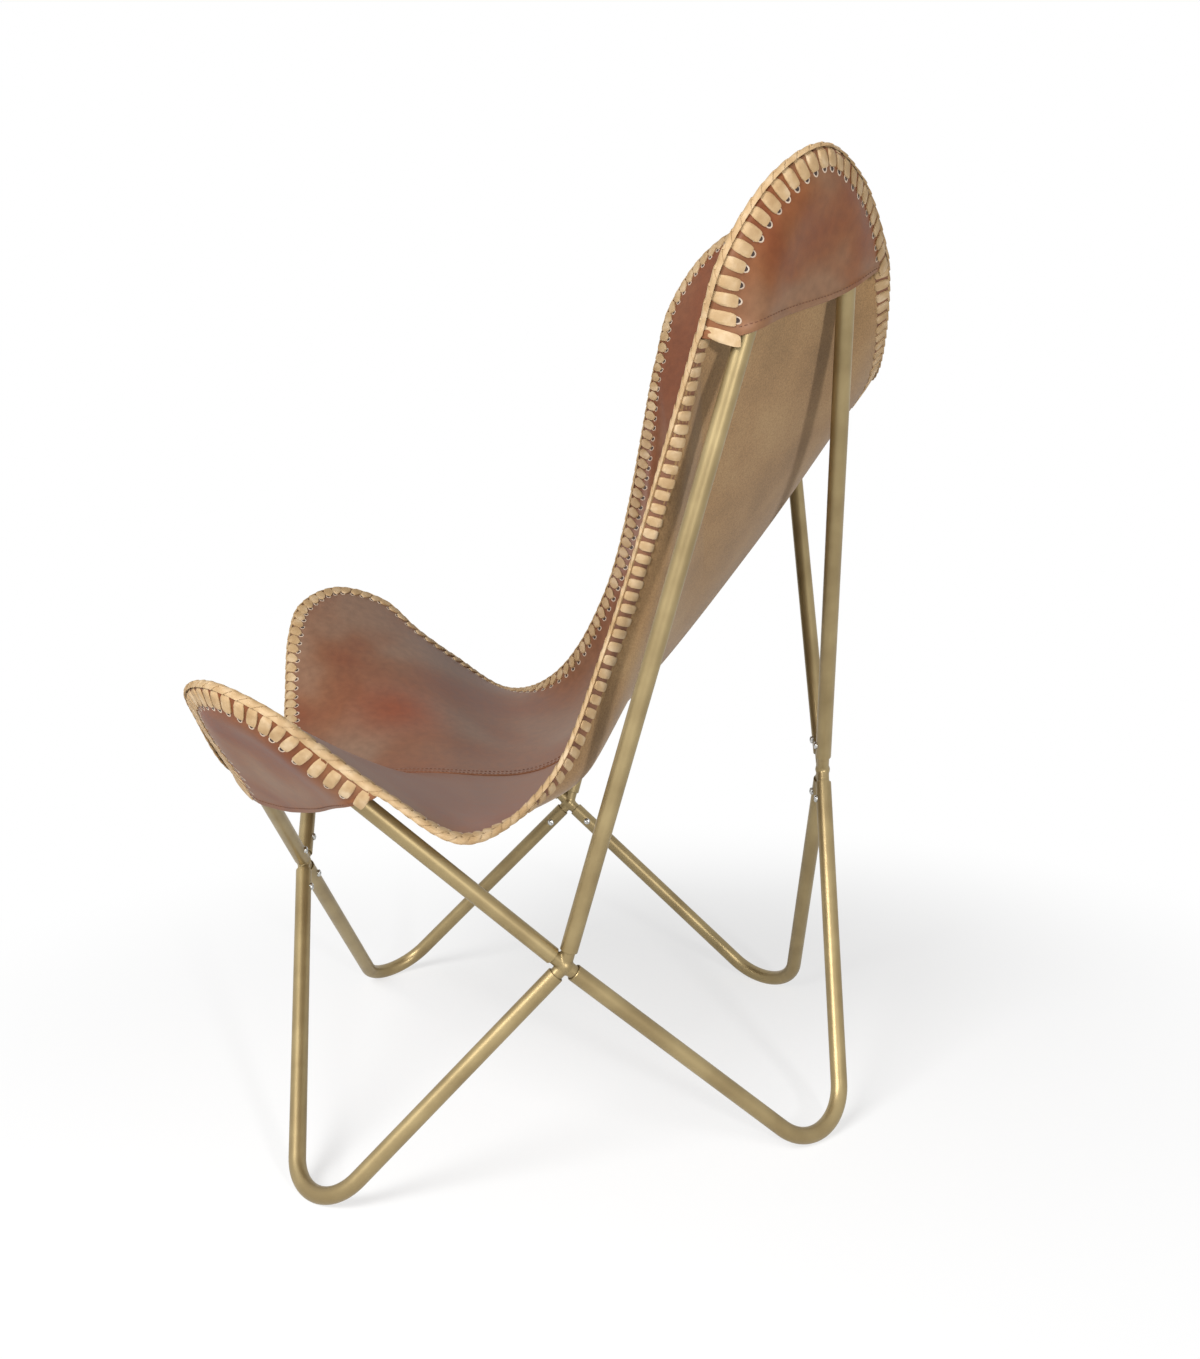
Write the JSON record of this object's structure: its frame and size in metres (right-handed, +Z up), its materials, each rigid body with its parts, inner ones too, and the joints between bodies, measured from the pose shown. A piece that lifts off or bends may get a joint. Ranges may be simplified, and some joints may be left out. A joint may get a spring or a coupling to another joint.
{
  "type": "butterfly sling chair",
  "caption": "Low lounge chair: a laced leather sling with corner pockets hangs on a bent-tube frame of open V feet and tall loops, screwed to welded cross connectors.",
  "frame": {"origin": "on the floor, under the middle of the chair's box", "axes": "+Z up, the sitter faces -Y, +X to the sitter's left; the chair is symmetric about X = 0"},
  "size_m": [0.7412, 0.6492, 0.8913],
  "materials": {
    "sling_leather": "smooth brown hide, pale suede underneath",
    "pocket_leather": "smooth brown hide",
    "lace_leather": "natural flat lace",
    "frame_finish": "satin antique brass powder coat",
    "screw_steel": "bright zinc plate"
  },
  "bodies": {
    "root": {"front_cross": "frame_finish", "rear_cross": "frame_finish", "left_cross": "frame_finish", "right_cross": "frame_finish", "front_cross_screw_1": "screw_steel", "front_cross_screw_2": "screw_steel", "front_cross_screw_3": "screw_steel", "front_cross_screw_4": "screw_steel", "rear_cross_screw_1": "screw_steel", "rear_cross_screw_2": "screw_steel", "rear_cross_screw_3": "screw_steel", "rear_cross_screw_4": "screw_steel", "left_cross_screw_1": "screw_steel", "left_cross_screw_2": "screw_steel", "left_cross_screw_3": "screw_steel", "left_cross_screw_4": "screw_steel", "right_cross_screw_1": "screw_steel", "right_cross_screw_2": "screw_steel", "right_cross_screw_3": "screw_steel", "right_cross_screw_4": "screw_steel", "front_foot_left": "frame_finish", "front_foot_right": "frame_finish", "rear_foot_left": "frame_finish", "rear_foot_right": "frame_finish", "front_loop_left": "frame_finish", "front_loop_right": "frame_finish", "back_loop_left": "frame_finish", "back_loop_right": "frame_finish", "sling_half_left": "sling_leather", "sling_half_right": "sling_leather", "front_pocket_left": "pocket_leather", "front_pocket_right": "pocket_leather", "back_pocket_left": "pocket_leather", "back_pocket_right": "pocket_leather", "front_lace": "lace_leather", "top_lace": "lace_leather", "side_lace_left": "lace_leather", "side_lace_right": "lace_leather"}
  },
  "joints": []
}
